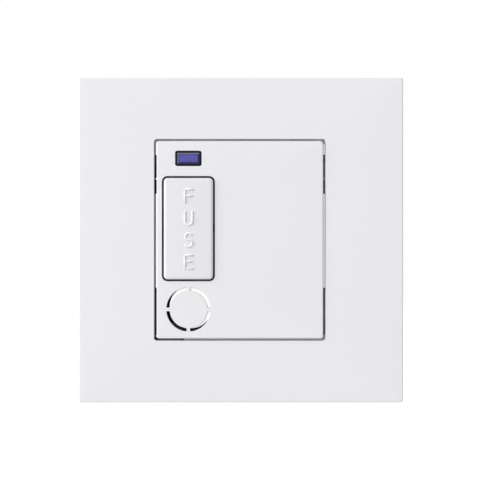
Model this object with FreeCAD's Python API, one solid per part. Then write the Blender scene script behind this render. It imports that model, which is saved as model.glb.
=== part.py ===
import FreeCAD, Part
import math
import os

# Fused connection unit for a single British wall box, in millimetres.
# X is to the right, Y goes into the wall, Z is up. The wall face is y = 0 and the
# origin lies halfway between the two fixing holes.

V = FreeCAD.Vector

# Surround frame
plate_size = 86.0
plate_depth = 8.5
plate_face = 2.2
plate_wall = 2.0
plate_corner_r = 0.6
plate_edge_round = 0.5
frame_rib = 1.2
frame_rib_inset = 2.8
frame_collar = 1.4
frame_collar_depth = 2.6
finger_inset = 10.5
finger_width = 6.0
finger_thick = 1.3
finger_taper = 0.5
finger_bead = 0.5
finger_clear = 0.3
finger_slack = 0.6
pry_notch_width = 8.0
pry_notch_depth = 1.2

# Front cover. Its centre lies a little left of and above the plate's centre.
cover_x = -0.3
cover_z = 0.1
cover_gap = 0.6
cover_proud = 0.5
cover_face = 1.6
cover_wall = 1.4
cover_corner_r = 0.8
cover_edge_round = 0.45
cover_rib = 1.0
cover_collar = 0.8
cover_lip_width = 0.5
cover_lip_drop = 0.4
cover_relief = 0.16
hook_inset = 0.2
hook_thick = 0.9
hook_barb = 0.9
hook_length = 2.6
hook_nose = 0.7
hook_end_clear = 1.0

# Places on the cover, from its left, top and bottom edges
lens_margin = 2.65
lens_to_carrier = 3.25
carrier_to_outlet = 2.1
outlet_margin_low = 1.85
outlet_margin_left = 2.7

# Fuse carrier
carrier_gap = 0.5
carrier_proud = 0.9
carrier_face = 2.2
carrier_corner_r = 1.0
carrier_edge_round = 0.8
carrier_side_lip = 0.7
carrier_end_lip = 0.05
drawer_cheek = 1.2
drawer_end = 0.5
drawer_side_clear = 0.2
drawer_end_clear = 0.15
drawer_back_clear = 0.45
cheek_notch = 2.5
saddle_thick = 2.0
saddle_offset = 3.4

# Cartridge fuse
fuse_length = 25.4
fuse_r = 3.175
fuse_end_clear = 0.15
fuse_standoff = 0.8
cap_length = 5.7
cap_wall = 0.33
cap_chamfer = 0.3
fit_clear = 0.05
cradle_clear = 0.15

# Fuse clips and their strips
strip_thick = 0.8
jaw_thick = 0.6
jaw_width = 5.0
jaw_clear = 0.25
jaw_flare = 0.35
jaw_reach = 2.0
jaw_lip = 1.0
jaw_room = 0.225
clip_base_clear = 0.6
leg_gap = 3.65
leg_overlap = 2.0
foot_overlap = 2.5

# Indicator
lens_w = 6.8
lens_h = 3.85
lens_gap = 0.1
lens_proud = 0.3
lens_rim = 0.45
lens_rim_drop = 0.15
lens_corner = 0.35
lens_flange = 0.8
stem_w = 5.2
stem_h = 2.4
stem_clear = 0.2
board_w = 8.0
board_h = 7.0
board_thick = 1.2
board_y = 1.0
bracket_wall = 1.0
bracket_seat = 0.8
bracket_short = 2.0
led_r = 1.5
led_rim = 0.4
led_rim_thick = 0.8
led_chamfer = 0.7
led_clear = 0.3
resistor_r = 1.1
resistor_length = 5.0
resistor_drop = 1.6
resistor_chamfer = 0.35
lead_r = 0.5
lead_inset = 2.0
lead_top_inset = 1.5
lead_y = 5.4
neutral_lead_z = 5.0

# Flex outlet knock-out. Its ring is cut right through except over a round web, which
# lies a little to the right of and above the outlet's centre.
outlet_r = 5.85
outlet_slot = 0.9
outlet_bridge = 0.95
web_r = 5.63
web_shift = 0.65
web_drop = 0.25
web_thick = 0.5

# Mounting plate
fixing_edge = 12.85
fixing_hole_r = 2.0
fixing_boss_r = 4.4
fixing_boss_height = 1.2
flange_side_clear = 2.0
flange_end_clear = 6.0
flange_thick = 2.2
flange_corner_r = 4.0
flange_rim = 1.2
body_margin = 2.4
body_wall = 2.0
body_corner_r = 1.0
ledge_plate = 2.0
slot_inward = 1.2
slot_ledge = 0.15
upper_slot_top = 0.975
upper_slot_bottom = 4.15
upper_rib_drop = 0.15
upper_rib = 0.45
lower_slot_top = 0.15
lower_slot_bottom = 1.05
corner_cavity_end = 1.27
cavity_side = 0.35
tunnel_wall = 1.2
tunnel_back_clear = 0.3
corner_relief = 1.3
pry_slot_left = (-5.15, 4.95)
pry_slot_right = (-0.85, 1.25)

# Rear housing
housing_depth = 22.0
housing_wall = 1.6
housing_back = 2.0
housing_corner_r = 1.0
chamber_wall = 1.6
chamber_clear = 0.3
chamber_rise = 3.0
chute_depth = 14.0
chute_roof = 0.9
chute_mouth_side = 1.5
wire_window = 5.2

# Terminals, in three columns: live, neutral, earth
terminal_w = 6.6
terminal_h = 9.0
terminal_depth = 10.0
terminal_chamfer = 0.5
terminal_setback = 2.9
terminal_bore_r = 2.0
terminal_bore_back = 6.0
terminal_screw_r = 1.7
terminal_screw_tip = 0.1
terminal_head_r = 2.6
terminal_head_h = 1.5
access_hole_r = 3.0
link_width = 3.0
link_thick = 0.8
link_pad_short = 1.0
link_passage = 4.0

# Screws that join the mouldings, and the cord clamp
pillar = 4.2
pillar_side_inset = 3.3
pillar_top_inset = 3.5
pillar_z = 8.0
joining_screw_r = 1.1
joining_head_r = 2.2
joining_head_h = 1.2
screw_bite = 3.4
screw_tip_clear = 0.3
shank_clear = 0.2
head_clear = 0.3
clamp_h = 4.0
clamp_thick = 3.0
clamp_y = 3.0
clamp_end_clear = 0.4
clamp_saddle_r = 9.0
clamp_saddle_deep = 1.0
clamp_screw_inset = 2.2
clamp_screw_r = 1.4
clamp_screw_past = 0.6
clamp_head_r = 2.5
clamp_head_h = 1.5
slot_width = 0.7
slot_depth = 0.8

# Sides of the many-sided rods that stand for small round pieces
fuse_sides = 16
access_sides = 12
head_sides = 10
lamp_sides = 10
shank_sides = 6
lead_sides = 6

# The carrier is as large as the fuse, its clips and its walls need
drawer_half_h = fuse_length / 2 + fuse_end_clear + drawer_end
jaw_half = fuse_r + jaw_clear + jaw_thick + jaw_flare
drawer_w = 2 * (jaw_half + jaw_room + drawer_cheek)
carrier_w = drawer_w + 2 * carrier_side_lip
carrier_h = 2 * (drawer_half_h + carrier_end_lip)

# The cover is as high as the lens, the carrier and the outlet with their margins, and as
# wide as the outlet and the bank of terminals behind it. Both sums match the photograph.
column_pitch = terminal_w + chamber_wall + 2 * chamber_clear
service_w = outlet_margin_left + 2 * outlet_r + cavity_side
bank_w = leg_gap + strip_thick + terminal_w + 2 * column_pitch + chamber_clear
cover_w = service_w + chamber_wall + bank_w + housing_wall - body_margin + cover_x
cover_h = (lens_margin + lens_h + lens_to_carrier + carrier_h + carrier_to_outlet
           + 2 * outlet_r + outlet_margin_low)
cover_left = cover_x - cover_w / 2
cover_right = cover_x + cover_w / 2
cover_top = cover_z + cover_h / 2
cover_bottom = cover_z - cover_h / 2
service_x = cover_left + outlet_margin_left + outlet_r
lens_z = cover_top - lens_margin - lens_h / 2
carrier_z = lens_z - lens_h / 2 - lens_to_carrier - carrier_h / 2
carrier_top = carrier_z + carrier_h / 2
outlet_z = cover_bottom + outlet_margin_low + outlet_r

# Mounting plate and housing round the cover
body_w = cover_w + 2 * body_margin
body_h = cover_h + 2 * body_margin
body_x = body_w / 2
body_z = body_h / 2
flange_w = plate_size - 2 * (plate_wall + flange_side_clear)
flange_h = plate_size - 2 * (plate_wall + flange_end_clear)
fixing_x = plate_size / 2 - fixing_edge
upper_slot_high = lens_z + upper_slot_top
upper_slot_low = carrier_top - upper_slot_bottom
upper_rib_z = carrier_top - upper_rib_drop
lower_slot_high = outlet_z + outlet_r - lower_slot_top
lower_slot_low = outlet_z - outlet_r - lower_slot_bottom
clip_spans = (
    (upper_slot_low, upper_rib_z - upper_rib / 2),
    (upper_rib_z + upper_rib / 2, upper_slot_high),
    (lower_slot_low, lower_slot_high),
)
cavity_right = service_x + outlet_r + cavity_side
divider_x = cavity_right + chamber_wall
divider_z = lower_slot_high + chute_roof
opening_w = cover_w + 2 * cover_gap
opening_h = cover_h + 2 * cover_gap
collar_w = body_w + 2 * finger_clear
collar_h = body_h + 2 * finger_clear
finger_x = body_x - finger_inset

# Levels along Y
frame_front = -plate_depth
ledge_y = frame_front + plate_face
ledge_back = ledge_y + ledge_plate
collar_back = ledge_y + frame_collar_depth
boss_front = -flange_thick - fixing_boss_height
cover_front = frame_front - cover_proud
cover_back = cover_front + cover_face
carrier_front = cover_front - carrier_proud
carrier_back = carrier_front + carrier_face
fuse_y = carrier_back + fuse_standoff + fuse_r
clip_y = fuse_y + fuse_r + clip_base_clear
clip_back = clip_y + strip_thick
drawer_back = clip_y - drawer_back_clear
tunnel_back = clip_y - tunnel_back_clear
board_back = board_y + board_thick
chamber_floor = housing_depth - housing_back
terminal_front = chamber_floor - terminal_depth
bore_y = chamber_floor - terminal_bore_back

# Places of the fuse, the terminals and the screws
cap_z = fuse_length / 2 - cap_length / 2
barrel_r = fuse_r - cap_wall
leg_x = divider_x + leg_gap
column_x = [leg_x + strip_thick + terminal_w / 2 + number * column_pitch for number in range(3)]
terminal_z = body_z - housing_wall - terminal_setback - terminal_h / 2
joining_screws = (
    (pillar_side_inset - body_x, body_z - pillar_top_inset),
    (column_x[0], -pillar_z),
    ((column_x[1] + column_x[2]) / 2, pillar_z),
)
clamp_left = housing_wall + chamber_clear - body_x
clamp_right = cavity_right - chamber_clear
clamp_z = housing_wall + clamp_end_clear + clamp_h / 2 - body_z
clamp_screws_x = (clamp_left + clamp_screw_inset, clamp_right - clamp_screw_inset)


along_y = V(0, 1, 0)
along_z = V(0, 0, 1)


def slab(x0, x1, y0, y1, z0, z1):
    return Part.makeBox(x1 - x0, y1 - y0, z1 - z0, V(x0, y0, z0))


def block(cx, cz, w, h, y0, y1):
    return slab(cx - w / 2, cx + w / 2, y0, y1, cz - h / 2, cz + h / 2)


def edges_along_y(shape):
    found = []
    for edge in shape.Edges:
        ends = [vertex.Point for vertex in edge.Vertexes]
        if len(ends) == 2 and abs(ends[0].x - ends[1].x) < 1e-6 and abs(ends[0].z - ends[1].z) < 1e-6:
            found.append(edge)
    return found


def rounded_block(cx, cz, w, h, y0, y1, r):
    shape = block(cx, cz, w, h, y0, y1)
    return shape.makeFillet(r, edges_along_y(shape))


def edges_at_y(shape, y):
    found = []
    for edge in shape.Edges:
        box = edge.BoundBox
        if abs(box.YMin - y) < 1e-5 and abs(box.YMax - y) < 1e-5:
            found.append(edge)
    return found


def soften_front(shape, y, r):
    return shape.makeFillet(r, edges_at_y(shape, y))


def post(x, z, r, y0, y1):
    return Part.makeCylinder(r, y1 - y0, V(x, y0, z), V(0, 1, 0))


def many_sided_ring(start, axis, r, sides):
    """A closed ring of straight edges about a point, across the given unit axis."""
    across = V(axis.y, axis.z, axis.x)
    upright = V(axis.z, axis.x, axis.y)
    corners = []
    for number in range(sides):
        angle = 2 * math.pi * number / sides
        corners.append(start + across * (r * math.cos(angle)) + upright * (r * math.sin(angle)))
    return Part.makePolygon(corners + corners[:1])


def many_sided_rod(start, axis, r, length, sides):
    """A many-sided rod, for round pieces that repeat or lie hidden inside."""
    return Part.Face(many_sided_ring(start, axis, r, sides)).extrude(axis * length)


def faceted_post(x, z, r, y0, y1, sides):
    return many_sided_rod(V(x, y0, z), along_y, r, y1 - y0, sides)


def shank_hole(x, z, r, y0, y1):
    return faceted_post(x, z, r, y0, y1, shank_sides)


def rod_z(x, y, r, z0, z1):
    return Part.makeCylinder(r, z1 - z0, V(x, y, z0), V(0, 0, 1))


def join(shapes):
    whole = shapes[0].multiFuse(shapes[1:])
    return whole.removeSplitter()


def profile_along_z(points, z0, z1):
    corners = [V(x, y, z0) for x, y in points]
    face = Part.Face(Part.makePolygon(corners + corners[:1]))
    return face.extrude(V(0, 0, z1 - z0))


# Surround frame: a hollow square moulding with a collar behind its opening,
# ribs from the collar to the side walls and four snap fingers.


def frame_shell():
    outer = rounded_block(0, 0, plate_size, plate_size, frame_front, 0, plate_corner_r)
    outer = soften_front(outer, frame_front, plate_edge_round)
    inner_size = plate_size - 2 * plate_wall
    hollow = block(0, 0, inner_size, inner_size, ledge_y, 0)
    return outer.cut(hollow)


def frame_ribs():
    inner = plate_size / 2 - plate_wall / 2
    reach_x = collar_w / 2 + frame_collar / 2
    reach_z = collar_h / 2 + frame_collar / 2
    ribs = []
    for side in (-1, 1):
        for step in (-3, -1, 1, 3):
            z = step * collar_h / 8
            middle = side * (reach_x + inner) / 2
            ribs.append(block(middle, z, inner - reach_x, frame_rib, ledge_y, collar_back))
        for step in (-1, 0, 1):
            x = step * (collar_w / 2 - frame_rib_inset)
            middle = side * (reach_z + inner) / 2
            ribs.append(block(x, middle, frame_rib, inner - reach_z, ledge_y, collar_back))
    return ribs


def frame_finger(x, side):
    wall = body_z + finger_clear
    tip_front = -flange_thick - finger_clear
    points = [
        (0, ledge_y), (finger_thick, ledge_y), (finger_thick, tip_front - 2 * finger_clear),
        (finger_thick - finger_taper, tip_front), (0, tip_front),
        (-finger_bead, tip_front - finger_bead), (0, tip_front - 3 * finger_bead),
    ]
    corners = [V(x - finger_width / 2, y, side * (wall + out)) for out, y in points]
    face = Part.Face(Part.makePolygon(corners + corners[:1]))
    return face.extrude(V(finger_width, 0, 0))


def surround_frame():
    collar = block(0, 0, collar_w + 2 * frame_collar, collar_h + 2 * frame_collar, ledge_y, collar_back)
    collar = collar.cut(block(0, 0, collar_w, collar_h, ledge_y, collar_back))
    shape = join([frame_shell(), collar] + frame_ribs())
    opening = rounded_block(cover_x, cover_z, opening_w, opening_h, frame_front, ledge_y, cover_corner_r)
    places = [(x, side) for x in (-finger_x, finger_x) for side in (-1, 1)]
    gap_w = finger_width + 2 * finger_slack
    gap_h = 2 * (finger_clear + finger_thick + frame_collar)
    gaps = [block(x, side * body_z, gap_w, gap_h, ledge_y, collar_back) for x, side in places]
    shape = shape.cut([opening] + gaps)
    shape = join([shape] + [frame_finger(x, side) for x, side in places])
    half = plate_size / 2
    notch = slab(-pry_notch_width / 2, pry_notch_width / 2, -pry_notch_depth, 0, -half, plate_wall - half)
    return shape.cut(notch)


# Mounting plate: one moulding with the fixing flange, the ledge behind the gap
# round the cover, the carrier's guide tunnel and the lamp bracket.


def flange_plate():
    plate = rounded_block(0, 0, flange_w, flange_h, -flange_thick, 0, flange_corner_r)
    rim = rounded_block(0, 0, flange_w, flange_h, boss_front, 0, flange_corner_r)
    inner_w = flange_w - 2 * flange_rim
    inner_h = flange_h - 2 * flange_rim
    inside = rounded_block(0, 0, inner_w, inner_h, boss_front, 0, flange_corner_r - flange_rim)
    return plate, rim.cut(inside)


def slot_span(side):
    edge = cover_right if side > 0 else cover_left
    return sorted((edge - side * slot_inward, edge + side * (cover_gap - slot_ledge)))


def clip_slots():
    slots = []
    for side in (-1, 1):
        low, high = slot_span(side)
        for z0, z1 in clip_spans:
            slots.append(slab(low, high, ledge_y, 0, z0, z1))
    return slots


def cord_cavity():
    """The way through for a flex, which also opens the gap at the lower left corner."""
    left = slot_span(-1)[0]
    corner_right = service_x - corner_cavity_end
    corner_low = cover_bottom - cover_gap + slot_ledge
    corner = slab(left, corner_right, ledge_y, 0, corner_low, lower_slot_high)
    middle = slab(corner_right, cavity_right, ledge_y, 0, lower_slot_low, lower_slot_high)
    return corner.fuse(middle)


def carrier_tunnel():
    inner_w = drawer_w + 2 * drawer_side_clear
    inner_h = 2 * (drawer_half_h + drawer_end_clear)
    outer_w = inner_w + 2 * tunnel_wall
    outer_h = inner_h + 2 * tunnel_wall
    outer = block(service_x, carrier_z, outer_w, outer_h, ledge_y, tunnel_back)
    inner = block(service_x, carrier_z, inner_w, inner_h, ledge_y, tunnel_back)
    half_w = carrier_w / 2 + carrier_gap
    reliefs = []
    for side in (-1, 1):
        for end in (-1, 1):
            x = service_x + side * inner_w / 2
            z = carrier_z + end * (inner_h - corner_relief) / 2
            reliefs.append(block(x, z, corner_relief, corner_relief, ledge_y, ledge_back))
    for span, side in ((pry_slot_left, -1), (pry_slot_right, 1)):
        low, high = sorted((service_x, service_x + side * half_w))
        reliefs.append(slab(low, high, ledge_y, ledge_back, carrier_z + span[0], carrier_z + span[1]))
    return outer, inner.fuse(reliefs)


def lamp_bracket():
    outer_w = board_w + 2 * (fit_clear + bracket_wall)
    outer_h = board_h - bracket_short
    outer = block(service_x, lens_z, outer_w, outer_h, ledge_back, board_back)
    seat = block(service_x, lens_z, board_w - 2 * bracket_seat, outer_h, ledge_back, board_y)
    room = block(service_x, lens_z, board_w + 2 * fit_clear, outer_h, board_y, board_back)
    return outer.cut(seat.fuse(room))


def finger_grooves():
    half = finger_width / 2 + finger_clear
    deep = finger_bead + finger_clear
    grooves = []
    for x in (-finger_x, finger_x):
        for side in (-1, 1):
            low, high = sorted((side * (body_z - deep), side * body_z))
            grooves.append(slab(x - half, x + half, ledge_y, -flange_thick, low, high))
    return grooves


def pillars(y0, y1):
    return [block(x, z, pillar, pillar, y0, y1) for x, z in joining_screws]


def mounting_plate():
    plate, rim = flange_plate()
    body = rounded_block(0, 0, body_w, body_h, ledge_y, 0, body_corner_r)
    room = block(0, 0, body_w - 2 * body_wall, body_h - 2 * body_wall, ledge_back, 0)
    tunnel, tunnel_hole = carrier_tunnel()
    side_wall = slab(cavity_right, divider_x, ledge_back, 0, body_wall - body_z, lower_slot_high)
    top_wall = slab(body_wall - body_x, divider_x, ledge_back, 0, lower_slot_high, divider_z)
    bosses = [post(x, 0, fixing_boss_r, boss_front, 0) for x in (-fixing_x, fixing_x)]
    shape = join([plate, rim, body] + bosses).cut(room)
    shape = join([shape, tunnel, side_wall, top_wall, lamp_bracket()] + pillars(ledge_back, 0))
    holes = [post(x, 0, fixing_hole_r, boss_front, 0) for x in (-fixing_x, fixing_x)]
    screw_holes = [shank_hole(x, z, joining_screw_r + fit_clear, -screw_bite, 0) for x, z in joining_screws]
    window = block(service_x, lens_z, stem_w + 2 * stem_clear, stem_h + 2 * stem_clear, ledge_y, ledge_back)
    cuts = holes + screw_holes + clip_slots() + finger_grooves() + [window, tunnel_hole, cord_cavity()]
    return shape.cut(cuts).removeSplitter()


# Front cover: a shallow cap that hooks into the ledge, with windows for the
# lens and the carrier and a disc held by four bridges for the flex outlet.


def outlet_ring(y0, y1):
    ring = post(service_x, outlet_z, outlet_r, y0, y1)
    ring = ring.cut(post(service_x, outlet_z, outlet_r - outlet_slot, y0, y1))
    reach = 2 * outlet_r
    upright = block(service_x, outlet_z, outlet_bridge, reach, y0, y1)
    across = block(service_x, outlet_z, reach, outlet_bridge, y0, y1)
    return ring.cut(upright).cut(across)


def outlet_slots():
    """A crescent right through, and a groove in front of and behind the thin web."""
    web = post(service_x + web_shift, outlet_z + web_shift, web_r, cover_front, cover_back)
    web_front = cover_front + web_drop
    crescent = outlet_ring(cover_front, cover_back).cut(web)
    front_groove = outlet_ring(cover_front, web_front).common(web)
    back_groove = outlet_ring(web_front + web_thick, cover_back).common(web)
    return crescent.fuse([front_groove, back_groove])


def cover_reliefs():
    """The cover's left side stands back a little beside each clip slot."""
    right = cover_left + cover_relief
    return [slab(cover_left, right, cover_front, ledge_y, z0, z1) for z0, z1 in clip_spans]


def cover_hook(side, z0):
    edge = cover_right if side > 0 else cover_left
    outer = edge - side * hook_inset
    inner = outer - side * hook_thick
    barb = inner - side * hook_barb
    nose = ledge_back + hook_nose
    tip = nose + hook_barb
    points = [
        (outer, cover_back), (outer, tip), (inner, tip),
        (barb, nose), (barb, ledge_back), (inner, ledge_back), (inner, cover_back),
    ]
    return profile_along_z(points, z0, z0 + hook_length)


def cover_ribs():
    left = service_x + carrier_w / 2 + carrier_gap + cover_collar
    right = cover_right - cover_wall
    ribs = []
    for step in (1, 2, 3):
        x = left + step * (right - left) / 4
        ribs.append(block(x, cover_z, cover_rib, cover_h - 2 * cover_wall, cover_back, ledge_y))
    for step in (-1, 0, 1):
        z = cover_z + step * cover_h / 4
        ribs.append(slab(left, right, cover_back, ledge_y, z - cover_rib / 2, z + cover_rib / 2))
    return ribs


def cover_lip():
    """A lower step along the right edge, left out in front of the clip slots."""
    level = cover_front + cover_lip_drop
    spans = ((lower_slot_high, upper_slot_low), (upper_slot_high, cover_top - cover_corner_r))
    inner = cover_right - cover_wall
    outer = cover_right + cover_lip_width
    return [slab(inner, outer, level, ledge_y, z0, z1) for z0, z1 in spans]


def front_cover():
    cap = rounded_block(cover_x, cover_z, cover_w, cover_h, cover_front, ledge_y, cover_corner_r)
    cap = soften_front(cap, cover_front, cover_edge_round)
    room_w = cover_w - 2 * cover_wall
    room_h = cover_h - 2 * cover_wall
    cap = cap.cut(block(cover_x, cover_z, room_w, room_h, cover_back, ledge_y))
    open_w = carrier_w + 2 * carrier_gap
    open_h = carrier_h + 2 * carrier_gap
    open_r = carrier_corner_r + carrier_gap
    collar = block(service_x, carrier_z, open_w + 2 * cover_collar, open_h + 2 * cover_collar,
                   cover_back, ledge_y)
    parts = [cap, collar] + cover_ribs() + cover_lip()
    for side in (-1, 1):
        parts.append(cover_hook(side, upper_slot_high - hook_end_clear - hook_length))
        parts.append(cover_hook(side, lower_slot_high - hook_end_clear - hook_length))
    shape = join(parts)
    aperture = rounded_block(service_x, carrier_z, open_w, open_h, cover_front, ledge_y, open_r)
    window = block(service_x, lens_z, lens_w + 2 * lens_gap, lens_h + 2 * lens_gap, cover_front, cover_back)
    window = window.makeChamfer(lens_corner, edges_along_y(window))
    return shape.cut([aperture, window, outlet_slots()] + cover_reliefs())


# Fuse carrier: the pull-out drawer that holds the cartridge fuse.


def fuse_carrier():
    face = rounded_block(service_x, carrier_z, carrier_w, carrier_h,
                         carrier_front, carrier_back, carrier_corner_r)
    face = soften_front(face, carrier_front, carrier_edge_round)
    drawer = block(service_x, carrier_z, drawer_w, 2 * drawer_half_h, carrier_back, drawer_back)
    inner_w = drawer_w - 2 * drawer_cheek
    inner_h = 2 * (drawer_half_h - drawer_end)
    drawer = drawer.cut(block(service_x, carrier_z, inner_w, inner_h, carrier_back, drawer_back))
    saddles = []
    for end in (-1, 1):
        z = carrier_z + end * saddle_offset
        saddles.append(block(service_x, z, inner_w, saddle_thick, carrier_back, fuse_y))
    seat = rod_z(service_x, fuse_y, barrel_r + cradle_clear, carrier_z - cap_z, carrier_z + cap_z)
    notch = block(service_x, carrier_z, drawer_w, 2 * saddle_thick, drawer_back - cheek_notch, drawer_back)
    return join([face, drawer] + saddles).cut([seat, notch])


def fuse_barrel():
    half = fuse_length / 2 - cap_wall - fit_clear
    start = V(service_x, fuse_y, carrier_z - half)
    return many_sided_rod(start, along_z, barrel_r - fit_clear, 2 * half, fuse_sides)


def fuse_cap(end):
    inward = along_z * -end
    tip = V(service_x, fuse_y, carrier_z + end * fuse_length / 2)
    cap = many_sided_rod(tip, inward, fuse_r, cap_length, fuse_sides)
    rim = [edge for edge in cap.Edges
           if abs(edge.BoundBox.ZMin - tip.z) + abs(edge.BoundBox.ZMax - tip.z) < 1e-6]
    cap = cap.makeChamfer(cap_chamfer, rim)
    floor = tip + inward * cap_wall
    return cap.cut(many_sided_rod(floor, inward, barrel_r, cap_length - cap_wall, fuse_sides))


# Fuse clips: each is one stamped strip, folded into two sprung jaws and a leg
# that reaches back beside its live terminal.


def clip_jaw(side, z):
    near = fuse_r + jaw_clear
    far = near + jaw_thick
    tip = fuse_y - jaw_reach
    bend = tip + jaw_lip
    points = [
        (near, clip_y), (near, bend), (near + jaw_flare, tip), (far + jaw_flare, tip),
        (far, bend), (far, clip_back), (0, clip_back), (0, clip_y),
    ]
    placed = [(service_x + side * x, y) for x, y in points]
    return profile_along_z(placed, z - jaw_width / 2, z + jaw_width / 2)


def fuse_clip(end):
    z = carrier_z + end * cap_z
    low, high = z - jaw_width / 2, z + jaw_width / 2
    run = slab(service_x, leg_x + strip_thick, clip_y, clip_back, low, high)
    leg = slab(leg_x, leg_x + strip_thick, clip_y, bore_y + leg_overlap, low, high)
    low, high = sorted((z - end * jaw_width / 2, end * (terminal_z + foot_overlap)))
    foot = slab(leg_x, leg_x + strip_thick, terminal_front, bore_y + leg_overlap, low, high)
    return join([clip_jaw(-1, z), clip_jaw(1, z), run, leg, foot])


# Terminals, links and screws


def terminal(x, row):
    z = row * terminal_z
    shape = block(x, z, terminal_w, terminal_h, terminal_front, chamber_floor)
    shape = shape.makeChamfer(terminal_chamfer, edges_along_y(shape))
    bore = rod_z(x, bore_y, terminal_bore_r, z - terminal_h / 2, z + terminal_h / 2)
    tapped = shank_hole(x, z, terminal_screw_r + fit_clear, bore_y, chamber_floor)
    return shape.cut([bore, tapped])


def terminal_link(x):
    y0 = terminal_front - link_thick
    bar = block(x, 0, link_width, 2 * terminal_z, y0, terminal_front)
    pad_h = terminal_h - link_pad_short
    pads = [block(x, row * terminal_z, terminal_w, pad_h, y0, terminal_front) for row in (-1, 1)]
    return join([bar] + pads)


def screw(x, z, r, head_r, head_h, under_head, tip, slot_angle):
    shank = faceted_post(x, z, r, tip, under_head, shank_sides)
    top = under_head + head_h
    head = faceted_post(x, z, head_r, under_head, top, head_sides)
    slot = block(0, 0, 3 * head_r, slot_width, top - slot_depth, top)
    slot.rotate(V(0, 0, 0), V(0, 1, 0), slot_angle)
    slot.translate(V(x, 0, z))
    return join([shank, head]).cut(slot)


def terminal_screws():
    screws = []
    tip = bore_y + terminal_bore_r + terminal_screw_tip
    for number, x in enumerate(column_x):
        for row in (-1, 1):
            angle = 25.0 * number + 40.0 * row
            screws.append(screw(x, row * terminal_z, terminal_screw_r, terminal_head_r, terminal_head_h,
                                chamber_floor, tip, angle))
    return Part.makeCompound(screws)


def joining_screw_group():
    screws = []
    seat = housing_depth - joining_head_h
    tip = screw_tip_clear - screw_bite
    for number, (x, z) in enumerate(joining_screws):
        screws.append(screw(x, z, joining_screw_r, joining_head_r, joining_head_h, seat, tip, 35.0 * number))
    return Part.makeCompound(screws)


# Rear housing: the moulded box with six terminal chambers, posts for the joining
# screws and the chute that leads a flex from the outlet down to the clamp.


def chamber_walls():
    inner = terminal_z - terminal_h / 2 - chamber_clear
    outer = body_z - housing_wall
    first = leg_x - chamber_clear - chamber_wall
    starts = [first] + [x - terminal_w / 2 - chamber_clear - chamber_wall for x in column_x[1:]]
    walls = []
    for row in (-1, 1):
        low, high = sorted((row * (inner - chamber_wall), row * outer))
        for x in starts:
            walls.append(slab(x, x + chamber_wall, terminal_front - chamber_rise, chamber_floor, low, high))
        low, high = sorted((row * (inner - chamber_wall), row * inner))
        walls.append(slab(first, body_x - housing_wall, terminal_front + chamber_clear, chamber_floor,
                          low, high))
    return walls


def foot_passages():
    left = leg_x - chamber_clear
    right = leg_x + strip_thick + chamber_clear
    passages = []
    for row in (-1, 1):
        low, high = sorted((row * link_passage, row * (terminal_z - terminal_h / 2)))
        passages.append(slab(left, right, terminal_front - chamber_rise, bore_y + leg_overlap + chamber_clear,
                             low, high))
    return passages


def housing_openings():
    holes = []
    wall_z = body_z - housing_wall / 2
    for x in column_x:
        for row in (-1, 1):
            holes.append(block(x, row * wall_z, wire_window, housing_wall,
                               bore_y - wire_window / 2, bore_y + wire_window / 2))
            holes.append(faceted_post(x, row * terminal_z, access_hole_r,
                                      chamber_floor, housing_depth, access_sides))
    for x, z in joining_screws:
        holes.append(shank_hole(x, z, joining_screw_r + shank_clear, 0, housing_depth))
        holes.append(faceted_post(x, z, joining_head_r + head_clear, housing_depth - joining_head_h,
                                  housing_depth, head_sides))
    return holes


def rear_housing():
    outer = rounded_block(0, 0, body_w, body_h, 0, housing_depth, housing_corner_r)
    room = block(0, 0, body_w - 2 * housing_wall, body_h - 2 * housing_wall, 0, chamber_floor)
    inset = housing_wall / 2
    chute_block = slab(inset - body_x, divider_x, 0, chamber_floor, inset - body_z, divider_z)
    shape = join([outer.cut(room), chute_block] + chamber_walls() + pillars(0, chamber_floor))
    left = housing_wall - body_x
    low = housing_wall - body_z
    step_y = chute_depth + housing_wall
    step = slab(-body_x, cavity_right, step_y, housing_depth, -body_z, lower_slot_high)
    chute = slab(left, cavity_right, 0, chute_depth, low, lower_slot_high)
    mouth = slab(left + chute_mouth_side, cavity_right - chute_mouth_side, clamp_y, chute_depth, -body_z, low)
    shaft_r = clamp_screw_r + shank_clear
    shafts = [shank_hole(x, clamp_z, shaft_r, chute_depth, step_y) for x in clamp_screws_x]
    cuts = [step, chute, mouth] + shafts + housing_openings() + foot_passages()
    return shape.cut(cuts).removeSplitter()


# Cord clamp


def cord_clamp():
    bar = slab(clamp_left, clamp_right, clamp_y, clamp_y + clamp_thick,
               clamp_z - clamp_h / 2, clamp_z + clamp_h / 2)
    middle = (clamp_left + clamp_right) / 2
    axis_y = clamp_y + clamp_thick + clamp_saddle_r - clamp_saddle_deep
    scoop = rod_z(middle, axis_y, clamp_saddle_r, clamp_z - clamp_h / 2, clamp_z + clamp_h / 2)
    tapped = [shank_hole(x, clamp_z, clamp_screw_r + fit_clear, clamp_y, clamp_y + clamp_thick)
              for x in clamp_screws_x]
    return bar.cut([scoop] + tapped)


def cord_clamp_screws():
    seat = chute_depth + housing_wall
    tip = clamp_y - clamp_screw_past
    return Part.makeCompound([
        screw(x, clamp_z, clamp_screw_r, clamp_head_r, clamp_head_h, seat, tip, 60.0) for x in clamp_screws_x
    ])


# Indicator lamp


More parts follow.
